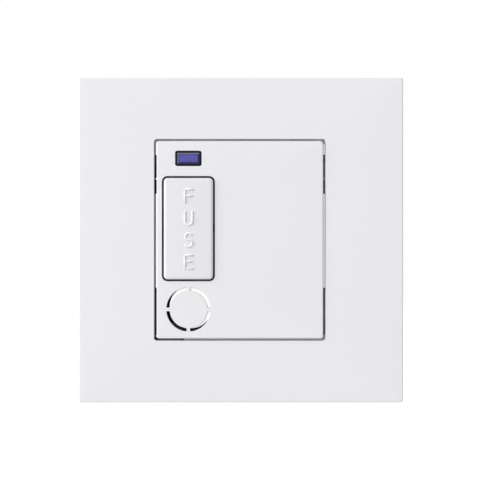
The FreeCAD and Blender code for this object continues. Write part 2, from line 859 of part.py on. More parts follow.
def indicator_lens():
    """A low rim in the window and a bevelled block that stands up out of it."""
    front = cover_front - lens_proud
    rim_front = cover_front + lens_rim_drop
    rim = block(service_x, lens_z, lens_w, lens_h, rim_front, cover_back)
    rim = rim.makeChamfer(lens_corner, edges_along_y(rim))
    block_w = lens_w - 2 * lens_rim
    block_h = lens_h - 2 * lens_rim
    raised = block(service_x, lens_z, block_w, block_h, front, cover_back)
    raised = raised.makeChamfer(rim_front - front, edges_at_y(raised, front))
    head = rim.fuse(raised)
    flange = block(service_x, lens_z, lens_w + 2 * lens_flange, lens_h + 2 * lens_flange, cover_back, ledge_y)
    stem = block(service_x, lens_z, stem_w, stem_h, ledge_y, ledge_back)
    return join([head, flange, stem])


def lamp_board():
    return block(service_x, lens_z, board_w, board_h, board_y, board_back)


def indicator_led():
    body = faceted_post(service_x, lens_z, led_r, ledge_back + led_clear, board_y, lamp_sides)
    body = body.makeChamfer(led_chamfer, edges_at_y(body, ledge_back + led_clear))
    flange = faceted_post(service_x, lens_z, led_r + led_rim, board_y - led_rim_thick, board_y, lamp_sides)
    return join([body, flange])


def dropper_resistor():
    start = V(service_x - resistor_length / 2, board_back + resistor_r, lens_z - resistor_drop)
    body = many_sided_rod(start, V(1, 0, 0), resistor_r, resistor_length, lamp_sides)
    ends = [edge for edge in body.Edges if edge.BoundBox.XLength < 1e-6]
    return body.makeChamfer(resistor_chamfer, ends)


def insulated_lead(points):
    ring = many_sided_ring(points[0], along_y, lead_r, lead_sides)
    return Part.makePolygon(points).makePipeShell([ring], True, False, 1)


def lamp_lead_live():
    x = service_x - board_w / 2 + lead_inset
    z = lens_z + board_h / 2 - lead_top_inset
    cap = carrier_z - cap_z
    return insulated_lead([V(x, board_back, z), V(x, lead_y, z), V(x, lead_y, cap), V(x, clip_back, cap)])


def lamp_lead_neutral():
    x = service_x + board_w / 2 - lead_inset
    z = lens_z + board_h / 2 - lead_top_inset
    far = column_x[1]
    return insulated_lead([
        V(x, board_back, z), V(x, lead_y, z), V(x, lead_y, neutral_lead_z),
        V(far, lead_y, neutral_lead_z), V(far, terminal_front - link_thick, neutral_lead_z),
    ])


NODES = {
    "surround_frame": surround_frame,
    "mounting_plate": mounting_plate,
    "front_cover": front_cover,
    "rear_housing": rear_housing,
    "fuse_carrier": fuse_carrier,
    "fuse_barrel": fuse_barrel,
    "fuse_cap_upper": lambda: fuse_cap(1),
    "fuse_cap_lower": lambda: fuse_cap(-1),
    "fuse_clip_supply": lambda: fuse_clip(1),
    "fuse_clip_load": lambda: fuse_clip(-1),
    "live_in_terminal": lambda: terminal(column_x[0], 1),
    "live_out_terminal": lambda: terminal(column_x[0], -1),
    "neutral_in_terminal": lambda: terminal(column_x[1], 1),
    "neutral_out_terminal": lambda: terminal(column_x[1], -1),
    "earth_in_terminal": lambda: terminal(column_x[2], 1),
    "earth_out_terminal": lambda: terminal(column_x[2], -1),
    "neutral_link": lambda: terminal_link(column_x[1]),
    "earth_link": lambda: terminal_link(column_x[2]),
    "terminal_screws": terminal_screws,
    "joining_screws": joining_screw_group,
    "cord_clamp": cord_clamp,
    "cord_clamp_screws": cord_clamp_screws,
    "indicator_lens": indicator_lens,
    "lamp_board": lamp_board,
    "indicator_led": indicator_led,
    "dropper_resistor": dropper_resistor,
    "lamp_lead_live": lamp_lead_live,
    "lamp_lead_neutral": lamp_lead_neutral,
}


def main():
    os.makedirs("parts", exist_ok=True)
    for name, make in NODES.items():
        shape = make()
        shape.exportStep("parts/" + name + ".step")


main()
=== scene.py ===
import math

import bmesh
import bpy
from mathutils import Matrix, Vector


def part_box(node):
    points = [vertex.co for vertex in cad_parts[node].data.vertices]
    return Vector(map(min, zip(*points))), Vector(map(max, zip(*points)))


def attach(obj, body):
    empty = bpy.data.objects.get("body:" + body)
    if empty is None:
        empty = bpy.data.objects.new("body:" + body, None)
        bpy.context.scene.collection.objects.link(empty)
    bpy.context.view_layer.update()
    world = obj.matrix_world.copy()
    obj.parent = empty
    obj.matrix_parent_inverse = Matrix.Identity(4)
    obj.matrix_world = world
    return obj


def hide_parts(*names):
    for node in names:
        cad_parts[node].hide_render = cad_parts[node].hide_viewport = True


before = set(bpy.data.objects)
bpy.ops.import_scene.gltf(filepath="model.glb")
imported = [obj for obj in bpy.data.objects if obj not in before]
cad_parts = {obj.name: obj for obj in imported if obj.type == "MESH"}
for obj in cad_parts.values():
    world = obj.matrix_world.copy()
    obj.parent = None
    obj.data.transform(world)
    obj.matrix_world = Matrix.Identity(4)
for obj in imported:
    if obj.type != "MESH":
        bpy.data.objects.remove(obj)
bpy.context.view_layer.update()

MM = 0.001

# Places on the front, taken from the frame
plate_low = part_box("surround_frame")[0]
cover_low, cover_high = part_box("front_cover")
carrier_low, carrier_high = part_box("fuse_carrier")
lens_low, lens_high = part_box("indicator_lens")
support_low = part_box("mounting_plate")[0]
body_low, body_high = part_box("rear_housing")


def add_object(name, data):
    thing = bpy.data.objects.new(name, data)
    bpy.context.scene.collection.objects.link(thing)
    return thing


# Camera: the photograph is 480 pixels square, and the plate has this size and middle in it

IMAGE_PX = 480.0
PLATE_PX = 325.0
PLATE_MIDDLE_PX = (240.8, 240.2)
PLATE_MM = 86.0
CAMERA_DISTANCE = 450 * MM
NEAREST_SEEN = 10 * MM
SENSOR = 36.0


def add_camera():
    data = bpy.data.cameras.new("photo_camera")
    camera = add_object("photo_camera", data)
    mm_per_px = PLATE_MM / PLATE_PX
    data.sensor_width = SENSOR
    data.lens = SENSOR * CAMERA_DISTANCE / (IMAGE_PX * mm_per_px * MM)
    data.clip_start = NEAREST_SEEN
    right = (IMAGE_PX / 2 - PLATE_MIDDLE_PX[0]) * mm_per_px * MM
    up = (PLATE_MIDDLE_PX[1] - IMAGE_PX / 2) * mm_per_px * MM
    camera.location = (right, plate_low.y - CAMERA_DISTANCE, up)
    camera.rotation_euler = (math.radians(90), 0, 0)
    bpy.context.scene.camera = camera


# Shader nodes that several materials use


def math_node(tree, operation, first, second=None):
    """The result of one calculation; each term is a float or another node's output."""
    node = tree.nodes.new("ShaderNodeMath")
    node.operation = operation
    for socket, value in zip(node.inputs, (first, second)):
        if isinstance(value, float):
            socket.default_value = value
        elif value is not None:
            tree.links.new(value, socket)
    return node.outputs[0]


def split_xyz(tree, vector):
    split = tree.nodes.new("ShaderNodeSeparateXYZ")
    tree.links.new(vector, split.inputs[0])
    return split.outputs


def distance_from(tree, coordinate, value):
    """How far a coordinate is from a value, to either side of it."""
    return math_node(tree, "ABSOLUTE", math_node(tree, "SUBTRACT", coordinate, value))


def noise(tree, place, per_mm, detail=3.0, rough=0.5):
    node = tree.nodes.new("ShaderNodeTexNoise")
    node.inputs["Scale"].default_value = per_mm / MM
    node.inputs["Detail"].default_value = detail
    node.inputs["Roughness"].default_value = rough
    tree.links.new(place, node.inputs["Vector"])
    return node.outputs["Fac"]


def spread(tree, value, low, high, from_low=0.3, from_high=0.7):
    """Maps from_low..from_high to low..high; left out, they are what noise mostly gives."""
    node = tree.nodes.new("ShaderNodeMapRange")
    node.inputs["From Min"].default_value = from_low
    node.inputs["From Max"].default_value = from_high
    node.inputs["To Min"].default_value = low
    node.inputs["To Max"].default_value = high
    tree.links.new(value, node.inputs["Value"])
    return node.outputs["Result"]


def blend_colour(tree, factor, first, second):
    node = tree.nodes.new("ShaderNodeMix")
    node.data_type = "RGBA"
    tree.links.new(factor, node.inputs["Factor"])
    for socket, colour in ((node.inputs["A"], first), (node.inputs["B"], second)):
        if isinstance(colour, tuple):
            socket.default_value = colour + (1.0,)
        else:
            tree.links.new(colour, socket)
    return node.outputs["Result"]


def scaled(colour, factor):
    return tuple(min(1.0, channel * factor) for channel in colour)


def add_bump(tree, shader, height, strength, distance, normal=None):
    node = tree.nodes.new("ShaderNodeBump")
    node.inputs["Strength"].default_value = strength
    node.inputs["Distance"].default_value = distance
    tree.links.new(height, node.inputs["Height"])
    if normal is not None:
        tree.links.new(normal, node.inputs["Normal"])
    tree.links.new(node.outputs["Normal"], shader.inputs["Normal"])


# Light, world and floor

AMBIENT = 0.615
SEEN_STRENGTH = 1.0
FULL_WHITE = (1.0, 1.0, 1.0, 1.0)
SOFTBOX_SIZE = 4.8
SOFTBOX_POWER = 224.0
SOFTBOX_PLACE = (-3.0, -2.7, 2.0)
FLOOR_LEVEL = -120 * MM
FLOOR_HALF = 3.0
FLOOR_COLOUR = (0.86, 0.86, 0.86, 1.0)
FLOOR_LIFT = 0.45


def camera_like_rays(tree):
    """1 for camera, glossy and transmission rays, which all see the white surroundings."""
    path = tree.nodes.new("ShaderNodeLightPath").outputs
    seen = math_node(tree, "MAXIMUM", path["Is Camera Ray"], path["Is Glossy Ray"])
    return math_node(tree, "MAXIMUM", seen, path["Is Transmission Ray"])


def background(tree, strength):
    node = tree.nodes.new("ShaderNodeBackground")
    node.inputs["Color"].default_value = FULL_WHITE
    node.inputs["Strength"].default_value = strength
    return node.outputs[0]


def add_world():
    """White where it is seen, and dimmer as the light that falls on the part."""
    world = bpy.data.worlds.new("studio")
    world.use_nodes = True
    tree = world.node_tree
    tree.nodes.clear()
    out = tree.nodes.new("ShaderNodeOutputWorld")
    mix = tree.nodes.new("ShaderNodeMixShader")
    tree.links.new(camera_like_rays(tree), mix.inputs[0])
    tree.links.new(background(tree, AMBIENT), mix.inputs[1])
    tree.links.new(background(tree, SEEN_STRENGTH), mix.inputs[2])
    tree.links.new(mix.outputs[0], out.inputs["Surface"])
    bpy.context.scene.world = world


def add_softbox():
    """A large upright softbox on the left, so the light rakes across the front."""
    data = bpy.data.lights.new("left_softbox", "AREA")
    data.shape = "SQUARE"
    data.size = SOFTBOX_SIZE
    data.energy = SOFTBOX_POWER
    lamp = add_object("left_softbox", data)
    lamp.location = SOFTBOX_PLACE
    lamp.rotation_euler = Vector((1, 0, 0)).to_track_quat("-Z", "Y").to_euler()
    lamp.visible_camera = False


def floor_material():
    material = bpy.data.materials.new("pale_floor")
    material.use_nodes = True
    tree = material.node_tree
    tree.nodes.clear()
    out = tree.nodes.new("ShaderNodeOutputMaterial")
    paint = tree.nodes.new("ShaderNodeBsdfDiffuse")
    paint.inputs["Color"].default_value = FLOOR_COLOUR
    lift = tree.nodes.new("ShaderNodeEmission")
    lift.inputs["Color"].default_value = FULL_WHITE
    level = math_node(tree, "MULTIPLY", camera_like_rays(tree), FLOOR_LIFT)
    tree.links.new(level, lift.inputs["Strength"])
    both = tree.nodes.new("ShaderNodeAddShader")
    tree.links.new(paint.outputs[0], both.inputs[0])
    tree.links.new(lift.outputs[0], both.inputs[1])
    tree.links.new(both.outputs[0], out.inputs["Surface"])
    return material


def add_floor():
    mesh = bpy.data.meshes.new("floor")
    signs = ((-1, -1), (1, -1), (1, 1), (-1, 1))
    corners = [(x * FLOOR_HALF, y * FLOOR_HALF, FLOOR_LEVEL) for x, y in signs]
    mesh.from_pydata(corners, [], [(0, 1, 2, 3)])
    floor = add_object("floor", mesh)
    floor.data.materials.append(floor_material())


# Masks, for edges and for places where painted shade or painted light gives the moulding a tone that
# differs from the rest of it

EDGE_SAMPLES = 6
EDGE_AGREES = 0.9
GAP_SAMPLES = 8
GAP_REACH = 3.0 * MM
GAP_SHUT = 0.12
GAP_OPEN = 0.45
COVER_INSET = 0.5 * MM
BODY_INSET = 1.0 * MM
MOUTH_MARGIN = 0.6 * MM
MOUTH_SHADE = 0.75
CARRIER_SHADE = 0.8
BEHIND_LEDGE = (0.3 * MM, 0.8 * MM)
UPWARD_LIGHT = 1.4
SIDEWAYS_LIGHT = -0.7

# How far the groove's web and the lip lie below the cover's face, as in the part
WEB_DROP = 0.25 * MM
LIP_DROP = 0.4 * MM
STEP_REACH = 0.05 * MM


def soft_edges(tree, radius):
    """The surface's normal with its edges rounded, and a mask that is 1 on those edges."""
    bevel = tree.nodes.new("ShaderNodeBevel")
    bevel.samples = EDGE_SAMPLES
    bevel.inputs["Radius"].default_value = radius
    geometry = tree.nodes.new("ShaderNodeNewGeometry")
    agree = tree.nodes.new("ShaderNodeVectorMath")
    agree.operation = "DOT_PRODUCT"
    tree.links.new(bevel.outputs["Normal"], agree.inputs[0])
    tree.links.new(geometry.outputs["Normal"], agree.inputs[1])
    return bevel.outputs["Normal"], spread(tree, agree.outputs["Value"], 0.0, 1.0, 1.0, EDGE_AGREES)


def deep_in_gaps(tree):
    """1 down in gaps that are narrow beside their depth, 0 in the open."""
    near = tree.nodes.new("ShaderNodeAmbientOcclusion")
    near.samples = GAP_SAMPLES
    near.inputs["Distance"].default_value = GAP_REACH
    return spread(tree, near.outputs["AO"], 1.0, 0.0, GAP_SHUT, GAP_OPEN)


def within(tree, place, low, high, margin):
    """1 inside a box seen from the front, with a margin added to it on each side, 0 outside."""
    coordinates = split_xyz(tree, place)
    sides = []
    for axis in (0, 2):
        offset = distance_from(tree, coordinates[axis], (low[axis] + high[axis]) / 2)
        sides.append(math_node(tree, "LESS_THAN", offset, (high[axis] - low[axis]) / 2 + margin))
    return math_node(tree, "MULTIPLY", *sides)


def cover_gap_shade(tree, place):
    """Painted shade on the walls of the cover's own openings, deep down."""
    inner = within(tree, place, cover_low, cover_high, -COVER_INSET)
    return math_node(tree, "MULTIPLY", deep_in_gaps(tree), inner)


def carrier_gap_shade(tree, place):
    """Painted shade on the carrier's sides, where they lie close in the cover's window."""
    return math_node(tree, "MULTIPLY", deep_in_gaps(tree), CARRIER_SHADE)


def support_recess_shade(tree, place):
    """Painted shade on what lies behind the ledge inside the body, and on the mouth of the carrier's
    tunnel.
    """
    depths = [support_low.y + step for step in BEHIND_LEDGE]
    deep = spread(tree, split_xyz(tree, place)["Y"], 0.0, 1.0, *depths)
    behind = math_node(tree, "MULTIPLY", deep, within(tree, place, body_low, body_high, -BODY_INSET))
    mouth = within(tree, place, carrier_low, carrier_high, MOUTH_MARGIN)
    return math_node(tree, "MAXIMUM", behind, math_node(tree, "MULTIPLY", mouth, MOUTH_SHADE))


def below_cover(tree, place, drop):
    """1 on what lies this far below the cover's face."""
    offset = distance_from(tree, split_xyz(tree, place)["Y"], cover_low.y + drop)
    return math_node(tree, "LESS_THAN", offset, STEP_REACH)


def painted_light_web(tree, place):
    """Painted light on the floor of the knock-out's groove, which is painted as a pale band, whiter than
    the face.
    """
    return below_cover(tree, place, WEB_DROP)


def painted_shade_lip(tree, place):
    """Painted shade on the low lip along the cover's right edge, which is painted greyer than the face."""
    return below_cover(tree, place, LIP_DROP)


def lit_slopes(tree):
    """1 on faces that slope up, less on faces that slope to the left, 0 on the others.

    This paints the photo's light on. It goes by the scene's up and left, wherever the light stands."""
    geometry = tree.nodes.new("ShaderNodeNewGeometry")
    facing = split_xyz(tree, geometry.outputs["True Normal"])
    upward = math_node(tree, "MULTIPLY", facing["Z"], UPWARD_LIGHT)
    leftward = math_node(tree, "MULTIPLY", facing["X"], SIDEWAYS_LIGHT)
    both = math_node(tree, "MAXIMUM", upward, leftward)
    return math_node(tree, "MINIMUM", math_node(tree, "MAXIMUM", both, 0.0), 1.0)


# Mouldings; their tones are set to match the photo

WHITE = (0.79, 0.787, 0.81)
CARRIER_TONE = 0.975
SUPPORT_WHITE = (0.82, 0.82, 0.82)
# Dark grey: the rear housing's own colour, and also the painted shade in the gaps and deep recesses of the
# white mouldings
DARK_GREY = (0.035, 0.035, 0.038)
# Painted light: the groove's web floor is painted pure white, brighter than the face
WEB_PAINTED_LIGHT = (1.0, 1.0, 1.0)
# Painted shade on the low lip along the cover's right edge
LIP_PAINTED_SHADE = (0.66, 0.66, 0.67)
COVER_EDGE = 0.2 * MM
# Painted highlight: how much lighter a moulding's edges are painted
EDGE_HIGHLIGHT_TONE = 1.03
PLASTIC_IOR = 1.5
PLASTIC_SPECULAR = 0.35
CLOUD_PER_MM = 0.06
GRAIN_PER_MM = 5.0
GRAIN_DETAIL = 2.0
GRAIN_HEIGHT = 0.006 * MM
GRAIN_GLOSS = 0.04
LETTER_SHADED = 0.84
LETTER_LIT = (0.97, 0.97, 0.98)


def start_material(name):
    material = bpy.data.materials.new(name)
    material.use_nodes = True
    tree = material.node_tree
    shader = tree.nodes["Principled BSDF"]
    place = tree.nodes.new("ShaderNodeTexCoord").outputs["Object"]
    return material, tree, shader, place


def fine_grain(tree, shader, place, roughness, texture=0.25, normal=None):
    """A moulding's surface, with a fine grain in its gloss and its height."""
    grain = noise(tree, place, GRAIN_PER_MM, GRAIN_DETAIL)
    gloss = spread(tree, grain, roughness - GRAIN_GLOSS, roughness + GRAIN_GLOSS)
    tree.links.new(gloss, shader.inputs["Roughness"])
    shader.inputs["IOR"].default_value = PLASTIC_IOR
    shader.inputs["Specular IOR Level"].default_value = PLASTIC_SPECULAR
    add_bump(tree, shader, grain, texture, GRAIN_HEIGHT, normal)


def moulded_plastic(name, colour, roughness, texture=0.25, mottle=0.012, edge=0.12 * MM, marks=()):
    """A moulding with a painted highlight along its edges; marks are pairs of a mask and the painted shade
    or light that it has there.
    """
    material, tree, shader, place = start_material(name)
    cloud = noise(tree, place, CLOUD_PER_MM)
    base = blend_colour(tree, cloud, scaled(colour, 1.0 - mottle), scaled(colour, 1.0 + mottle))
    normal, edges = soft_edges(tree, edge)
    # Painted highlight: every edge a little lighter than the face
    tone = blend_colour(tree, edges, base, scaled(colour, EDGE_HIGHLIGHT_TONE))
    for mask, marked in marks:
        tone = blend_colour(tree, mask(tree, place), tone, marked)
    tree.links.new(tone, shader.inputs["Base Color"])
    fine_grain(tree, shader, place, roughness, texture, normal)
    return material


def lettering_material():
    """The carrier's plastic, with painted light on the letters' upper and left slopes and painted shade on
    the others.
    """
    material, tree, shader, place = start_material("lettering")
    tone = blend_colour(tree, lit_slopes(tree), scaled(WHITE, LETTER_SHADED), LETTER_LIT)
    tree.links.new(tone, shader.inputs["Base Color"])
    fine_grain(tree, shader, place, roughness=0.38)
    return material


# The indicator's lens; its tones are set to match the photo too

# Half the width and half the height of its raised block, as in the part
LENS_BLOCK = (2.95 * MM, 1.475 * MM)

# Painted shade for the rim and the slopes, and a painted highlight for the edge line; only the body's
# colour is the dye's own
LENS_RIM_SHADE = (0.004, 0.005, 0.016)
LENS_SLOPE_SHADE = (0.040, 0.038, 0.125)
LENS_LINE_HIGHLIGHT = (0.20, 0.20, 0.26)
LENS_BODY = ((0.088, 0.084, 0.33), (0.110, 0.104, 0.40))
LENS_RIM_BLUR = (-0.03 * MM, 0.03 * MM)
LENS_LINE_BLUR = (0.22 * MM, 0.42 * MM)
LENS_SLOPE_BLUR = (0.35 * MM, 0.75 * MM)
LENS_CLOUD_PER_MM = 0.5
LENS_GRAIN_PER_MM = 3.0
LENS_GRAIN = 0.05
LENS_GRAIN_HEIGHT = 0.01 * MM
LENS_GLOSS = (0.12, 0.2)
LENS_EDGE = 0.08 * MM
LENS_IOR = 1.49
LENS_SPECULAR = 0.15


def inside_block(tree, place):
    """How far a point lies inside the edge of the lens's raised block, seen from the front."""
    coordinates = split_xyz(tree, place)
    depths = []
    for axis, half in zip((0, 2), LENS_BLOCK):
        offset = distance_from(tree, coordinates[axis], (lens_low[axis] + lens_high[axis]) / 2)
        depths.append(math_node(tree, "SUBTRACT", half, offset))
    return math_node(tree, "MINIMUM", *depths)


def lens_material():
    """Dyed acrylic with a blue-violet middle, a nearly black rim of painted shade, and darker slopes of
    painted shade with a painted highlight on their edge.
    """
    material, tree, shader, place = start_material("dyed_acrylic_and_painted_light")
    depth = inside_block(tree, place)
    body = blend_colour(tree, noise(tree, place, LENS_CLOUD_PER_MM), *LENS_BODY)
    middle = spread(tree, depth, 0.0, 1.0, *LENS_SLOPE_BLUR)
    raised = blend_colour(tree, middle, LENS_SLOPE_SHADE, body)
    edge = spread(tree, depth, 1.0, 0.0, *LENS_LINE_BLUR)
    # The edge line is a painted highlight, on the upper and left slopes only
    line = math_node(tree, "MULTIPLY", edge, lit_slopes(tree))
    lined = blend_colour(tree, line, raised, LENS_LINE_HIGHLIGHT)
    rim_shade = spread(tree, depth, 1.0, 0.0, *LENS_RIM_BLUR)
    tree.links.new(blend_colour(tree, rim_shade, lined, LENS_RIM_SHADE), shader.inputs["Base Color"])
    grain = noise(tree, place, LENS_GRAIN_PER_MM)
    tree.links.new(spread(tree, grain, *LENS_GLOSS), shader.inputs["Roughness"])
    shader.inputs["IOR"].default_value = LENS_IOR
    shader.inputs["Specular IOR Level"].default_value = LENS_SPECULAR
    add_bump(tree, shader, grain, LENS_GRAIN, LENS_GRAIN_HEIGHT, soft_edges(tree, LENS_EDGE)[0])
    return material


# Metal and lacquer

METAL_STRETCH = (1.0, 1.0, 0.12)
STREAKS_PER_MM = 6.0
STREAK_DETAIL = 4.0
STREAK_ROUGH = 0.6
STREAK_HEIGHT = 0.008 * MM
STREAK_GLOSS = (-0.08, 0.12)
PATCHES_PER_MM = 0.5
METAL_EDGE = 0.08 * MM
METAL_EDGE_TONE = 1.15
RESISTOR_BODY = (0.52, 0.42, 0.26)
RESISTOR_BAND = (0.30, 0.10, 0.05)
BANDS_PER_MM = 0.32
BAND_BLUR = (0.80, 0.88)
LACQUER_GRAIN_PER_MM = 2.0
LACQUER_GRAIN = 0.1
LACQUER_GRAIN_HEIGHT = 0.02 * MM
LACQUER_GLOSS = (0.25, 0.4)


def stamped_metal(name, colour, roughness, scratch=0.3, dull=0.75):
    """Metal with upright streaks, duller patches and brighter edges."""
    material, tree, shader, place = start_material(name)
    shader.inputs["Metallic"].default_value = 1.0
    stretch = tree.nodes.new("ShaderNodeMapping")
    stretch.inputs["Scale"].default_value = METAL_STRETCH
    tree.links.new(place, stretch.inputs["Vector"])
    streak = noise(tree, stretch.outputs["Vector"], STREAKS_PER_MM, STREAK_DETAIL, STREAK_ROUGH)
    patch = noise(tree, place, PATCHES_PER_MM)
    base = blend_colour(tree, patch, scaled(colour, dull), colour)
    normal, edges = soft_edges(tree, METAL_EDGE)
    tone = blend_colour(tree, edges, base, scaled(colour, METAL_EDGE_TONE))
    tree.links.new(tone, shader.inputs["Base Color"])
    gloss = spread(tree, streak, *[roughness + step for step in STREAK_GLOSS])
    tree.links.new(gloss, shader.inputs["Roughness"])
    add_bump(tree, shader, streak, scratch, STREAK_HEIGHT, normal)
    return material


def banded_resistor():
    material, tree, shader, place = start_material("lacquered_resistor")
    wave = tree.nodes.new("ShaderNodeTexWave")
    wave.bands_direction = "X"
    wave.inputs["Scale"].default_value = BANDS_PER_MM / MM
    tree.links.new(place, wave.inputs["Vector"])
    band = spread(tree, wave.outputs["Fac"], 0.0, 1.0, *BAND_BLUR)
    tone = blend_colour(tree, band, RESISTOR_BODY, RESISTOR_BAND)
    tree.links.new(tone, shader.inputs["Base Color"])
    grain = noise(tree, place, LACQUER_GRAIN_PER_MM)
    tree.links.new(spread(tree, grain, *LACQUER_GLOSS), shader.inputs["Roughness"])
    add_bump(tree, shader, grain, LACQUER_GRAIN, LACQUER_GRAIN_HEIGHT)
    return material


# The finish of each CAD node


def moulded_finishes():
    """The mouldings, the lens, the lamp's pieces and the fuse's body, each with its own material."""
    lead = {"roughness": 0.45, "texture": 0.2, "mottle": 0.05}
    return {
        "surround_frame": moulded_plastic("surround_moulding", WHITE, roughness=0.42),
        "front_cover": moulded_plastic(
            "cover_moulding", WHITE, roughness=0.42, edge=COVER_EDGE,
            marks=((painted_light_web, WEB_PAINTED_LIGHT), (painted_shade_lip, LIP_PAINTED_SHADE), (cover_gap_shade, DARK_GREY))),
        "fuse_carrier": moulded_plastic(
            "carrier_moulding", scaled(WHITE, CARRIER_TONE), roughness=0.38,
            marks=((carrier_gap_shade, DARK_GREY),)),
        "mounting_plate": moulded_plastic(
            "support_moulding", SUPPORT_WHITE, roughness=0.5, texture=0.35,
            marks=((support_recess_shade, DARK_GREY),)),
        "rear_housing": moulded_plastic(
            "housing_moulding", DARK_GREY, roughness=0.48, texture=0.5, mottle=0.1),
        "cord_clamp": moulded_plastic("clamp_moulding", (0.72, 0.72, 0.71), roughness=0.5, texture=0.4),
        "indicator_lens": lens_material(),
        "dropper_resistor": banded_resistor(),
        "lamp_board": moulded_plastic(
            "board_lacquer", (0.05, 0.17, 0.08), roughness=0.3, texture=0.3, mottle=0.08),
        "indicator_led": moulded_plastic("led_resin", (0.35, 0.45, 0.85), roughness=0.12, texture=0.05),
        "lamp_lead_live": moulded_plastic("brown_insulation", (0.16, 0.06, 0.03), **lead),
        "lamp_lead_neutral": moulded_plastic("blue_insulation", (0.03, 0.10, 0.38), **lead),
        "fuse_barrel": moulded_plastic("glazed_ceramic", (0.78, 0.76, 0.70), roughness=0.22, texture=0.1),
    }


def metal_finishes():
    """The metal nodes, which are told by their names."""
    caps = stamped_metal("nickel_plate", (0.72, 0.70, 0.65), roughness=0.25, scratch=0.15, dull=0.9)
    bronze = stamped_metal("spring_bronze", (0.70, 0.42, 0.22), roughness=0.3)
    brass = stamped_metal("terminal_brass", (0.78, 0.60, 0.28), roughness=0.28)
    zinc = stamped_metal("zinc_plate", (0.62, 0.62, 0.64), roughness=0.3)
    finishes = {}
    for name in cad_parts:
        if name.startswith("fuse_cap"):
            finishes[name] = caps
        elif name.startswith("fuse_clip"):
            finishes[name] = bronze
        elif name.endswith("_terminal") or name.endswith("_link"):
            finishes[name] = brass
        elif name.endswith("_screws"):
            finishes[name] = zinc
    return finishes


def finish_nodes():
    finishes = {**moulded_finishes(), **metal_finishes()}
    for name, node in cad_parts.items():
        node.data.materials.clear()
        node.data.materials.append(finishes[name])
    return finishes


# Smooth shading over the curved stretches, with every real corner kept crisp

MERGE_DISTANCE = 0.001 * MM
NODE_ANGLE = math.radians(28)
DETAIL_ANGLE = math.radians(32)


def smooth_shading_group():
    group = bpy.data.node_groups.new("smooth_curves", "GeometryNodeTree")
    group.interface.new_socket("Geometry", in_out="INPUT", socket_type="NodeSocketGeometry")
    group.interface.new_socket("Geometry", in_out="OUTPUT", socket_type="NodeSocketGeometry")
    source = group.nodes.new("NodeGroupInput")
    result = group.nodes.new("NodeGroupOutput")
    merge = group.nodes.new("GeometryNodeMergeByDistance")
    merge.inputs["Distance"].default_value = MERGE_DISTANCE
    faces = group.nodes.new("GeometryNodeSetShadeSmooth")
    faces.domain = "FACE"
    edges = group.nodes.new("GeometryNodeSetShadeSmooth")
    edges.domain = "EDGE"
    edges.inputs["Shade Smooth"].default_value = False
    angle = group.nodes.new("GeometryNodeInputMeshEdgeAngle")
    sharp = group.nodes.new("FunctionNodeCompare")
    sharp.operation = "GREATER_THAN"
    sharp.inputs["B"].default_value = NODE_ANGLE
    group.links.new(angle.outputs["Unsigned Angle"], sharp.inputs["A"])
    group.links.new(sharp.outputs["Result"], edges.inputs["Selection"])
    group.links.new(source.outputs[0], merge.inputs["Geometry"])
    group.links.new(merge.outputs["Geometry"], faces.inputs["Geometry"])
    group.links.new(faces.outputs["Geometry"], edges.inputs["Geometry"])
    group.links.new(edges.outputs["Geometry"], result.inputs[0])
    return group


def smooth_nodes():
    group = smooth_shading_group()
    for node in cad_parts.values():
        modifier = node.modifiers.new("smooth_curves", "NODES")
        modifier.node_group = group


# Round solids: turned about +Y, threaded, or drawn along a line

TURN_STEPS = 48
THREAD_STEPS = 24
ROWS_PER_PITCH = 4
LEAD_STEPS = 16


def angles_round(steps):
    return [2 * math.pi * step / steps for step in range(steps)]


def quarter_turn(steps, first=0):
    return [math.radians(90 * step / steps) for step in range(first, steps + 1)]


def mirrored(half):
    """A whole outline of (radius, y) points from its half on the +Y side, which starts on the axis."""
    return [(radius, -y) for radius, y in half] + half[::-1]


def turn(mesh, profile, steps=TURN_STEPS):
    """Adds a solid of (radius, y) points turned about the Y axis; radius 0 closes it."""
    rings = []
    for radius, y in profile:
        if radius == 0:
            rings.append([mesh.verts.new((0, y, 0))])
            continue
        ring = []
        for angle in angles_round(steps):
            ring.append(mesh.verts.new((radius * math.cos(angle), y, radius * math.sin(angle))))
        rings.append(ring)
    for first, second in zip(rings, rings[1:]):
        for step in range(steps):
            after = (step + 1) % steps
            corners = [first[step % len(first)], first[after % len(first)],
                       second[after % len(second)], second[step % len(second)]]
            kept = [corner for number, corner in enumerate(corners) if corner not in corners[:number]]
            if len(kept) > 2:
                mesh.faces.new(kept)


def close_tube(mesh, rings):
    """Adds the faces between rings with equally many points, and one face on each end ring."""
    for first, second in zip(rings, rings[1:]):
        for step in range(len(first)):
            after = (step + 1) % len(first)
            mesh.faces.new((first[step], first[after], second[after], second[step]))
    mesh.faces.new(rings[0])
    mesh.faces.new(rings[-1])


def thread(mesh, root, crest, pitch, y0, y1):
    """Adds a threaded rod from its tip y0 to y1, with a V thread that fades at both ends."""
    rows = int(math.ceil((y1 - y0) / pitch * ROWS_PER_PITCH))
    rings = []
    for row in range(rows + 1):
        y = y0 + (y1 - y0) * row / rows
        fade = min(1.0, (y - y0) / pitch, (y1 - y) / pitch)
        ring = []
        for step, angle in enumerate(angles_round(THREAD_STEPS)):
            phase = (y / pitch - step / THREAD_STEPS) % 1.0
            radius = root + (crest - root) * fade * (1.0 - abs(2.0 * phase - 1.0))
            ring.append(mesh.verts.new((radius * math.cos(angle), y, radius * math.sin(angle))))
        rings.append(ring)
    close_tube(mesh, rings)


